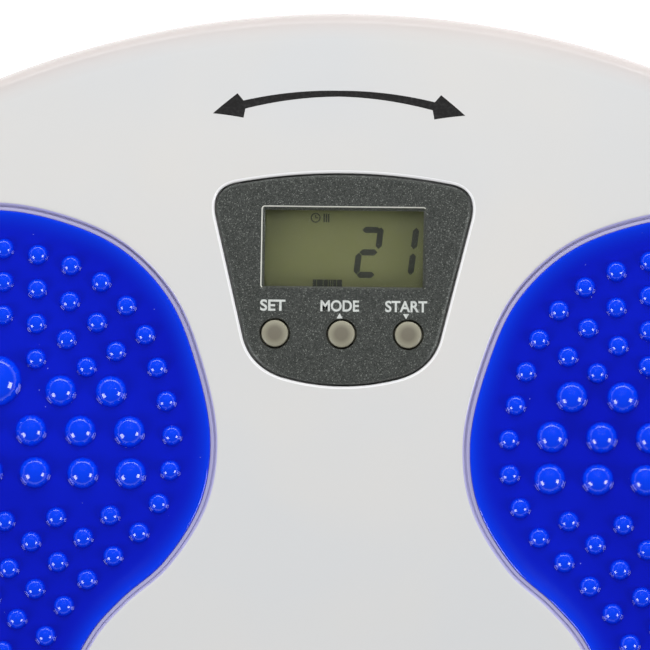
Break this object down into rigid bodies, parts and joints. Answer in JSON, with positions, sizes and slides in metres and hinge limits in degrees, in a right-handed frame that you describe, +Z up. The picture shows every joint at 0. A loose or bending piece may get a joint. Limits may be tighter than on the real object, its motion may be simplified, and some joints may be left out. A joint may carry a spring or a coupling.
{
  "type": "waist twisting disc",
  "caption": "Round waist-twisting disc: a turntable on a ball race with two nubbed massage foot pads and a lift-out turn counter with display and push buttons.",
  "frame": {"origin": "on the floor straight under the pivot, at the middle of the object's box", "axes": "+Z up along the pivot, +Y towards the counter, +X to the standing person's right"},
  "size_m": [0.3, 0.3, 0.0418],
  "materials": {
    "shell_plastic": "white ABS, polished mould, high gloss",
    "plate_plastic": "white ABS, fine spark texture",
    "base_plastic": "grey ABS, fine spark texture",
    "pad_vinyl": "deep blue soft vinyl, glossy and slightly see-through",
    "foot_rubber": "black rubber, matt",
    "race_steel": "pressed steel, bright with turned marks in the groove",
    "ball_steel": "polished bearing steel",
    "bearing_acetal": "natural acetal, satin",
    "fastener_steel": "zinc-plated steel",
    "magnet_ferrite": "sintered ferrite, dull",
    "panel_paint": "dark grey metallic paint on plastic, fine bright flakes",
    "case_plastic": "dark ABS, fine texture",
    "lens_clear": "clear acrylic, polished",
    "lcd_glass": "reflective olive-grey liquid crystal cell",
    "zebra_rubber": "banded silicone connector",
    "board_laminate": "green solder mask on laminate",
    "cell_steel": "nickel-plated steel can",
    "contact_steel": "sprung plated steel strip",
    "reed_glass": "green-tinted glass tube",
    "button_plastic": "warm grey ABS, satin"
  },
  "bodies": {
    "base": {"base_plate": "base_plastic", "base_cap": "base_plastic", "lower_race": "race_steel", "pivot_bush": "bearing_acetal", "trigger_magnet": "magnet_ferrite", "rubber_foot_1": "foot_rubber", "rubber_foot_2": "foot_rubber", "rubber_foot_3": "foot_rubber", "rubber_foot_4": "foot_rubber", "rubber_foot_5": "foot_rubber", "rubber_foot_6": "foot_rubber"},
    "turntable": {"top_shell": "shell_plastic", "under_plate": "plate_plastic", "pad_right": "pad_vinyl", "pad_left": "pad_vinyl", "upper_race": "race_steel", "pivot_bolt": "fastener_steel", "pivot_washer": "fastener_steel", "lock_nut": "fastener_steel", "shell_screw_1": "fastener_steel", "shell_screw_2": "fastener_steel", "shell_screw_3": "fastener_steel", "shell_screw_4": "fastener_steel", "shell_screw_5": "fastener_steel", "shell_screw_6": "fastener_steel"},
    "ball_cage": {"ball_cage": "bearing_acetal", "race_ball_1": "ball_steel", "race_ball_2": "ball_steel", "race_ball_3": "ball_steel", "race_ball_4": "ball_steel", "race_ball_5": "ball_steel", "race_ball_6": "ball_steel", "race_ball_7": "ball_steel", "race_ball_8": "ball_steel", "race_ball_9": "ball_steel", "race_ball_10": "ball_steel", "race_ball_11": "ball_steel", "race_ball_12": "ball_steel"},
    "counter": {"counter_bezel": "panel_paint", "counter_back": "case_plastic", "display_lens": "lens_clear", "lcd_panel": "lcd_glass", "zebra_strip": "zebra_rubber", "circuit_board": "board_laminate", "button_cell": "cell_steel", "cell_contact_minus": "contact_steel", "cell_contact_plus": "contact_steel", "reed_switch": "reed_glass", "case_screw_left": "fastener_steel", "case_screw_right": "fastener_steel", "set_dome": "contact_steel", "mode_dome": "contact_steel", "start_dome": "contact_steel"},
    "battery_door": {"battery_door": "case_plastic"},
    "set_button": {"set_button": "button_plastic"},
    "mode_button": {"mode_button": "button_plastic"},
    "start_button": {"start_button": "button_plastic"}
  },
  "joints": [
    {"name": "turntable_spin", "type": "hinge", "parent": "base", "child": "turntable", "pos_m": [0, 0, 0.0164], "axis": [0, 0, 1], "continuous": true},
    {"name": "cage_roll", "type": "hinge", "parent": "base", "child": "ball_cage", "pos_m": [0, 0, 0.0164], "axis": [0, 0, 1], "continuous": true},
    {"name": "counter_lift", "type": "slide", "parent": "turntable", "child": "counter", "axis": [0, 0, 1], "range_m": [0, 0.03]},
    {"name": "battery_door_slide", "type": "slide", "parent": "counter", "child": "battery_door", "axis": [0, -1, 0], "range_m": [0, 0.016]},
    {"name": "set_press", "type": "slide", "parent": "counter", "child": "set_button", "axis": [0, 0, -1], "range_m": [0, 0.0006], "stiffness_N_per_m": 250, "springref_m": -0.0006},
    {"name": "mode_press", "type": "slide", "parent": "counter", "child": "mode_button", "axis": [0, 0, -1], "range_m": [0, 0.0006], "stiffness_N_per_m": 250, "springref_m": -0.0006},
    {"name": "start_press", "type": "slide", "parent": "counter", "child": "start_button", "axis": [0, 0, -1], "range_m": [0, 0.0006], "stiffness_N_per_m": 250, "springref_m": -0.0006}
  ],
  "couplings": [
    {"joint": "cage_roll", "follows": "turntable_spin", "ratio": 0.5}
  ]
}
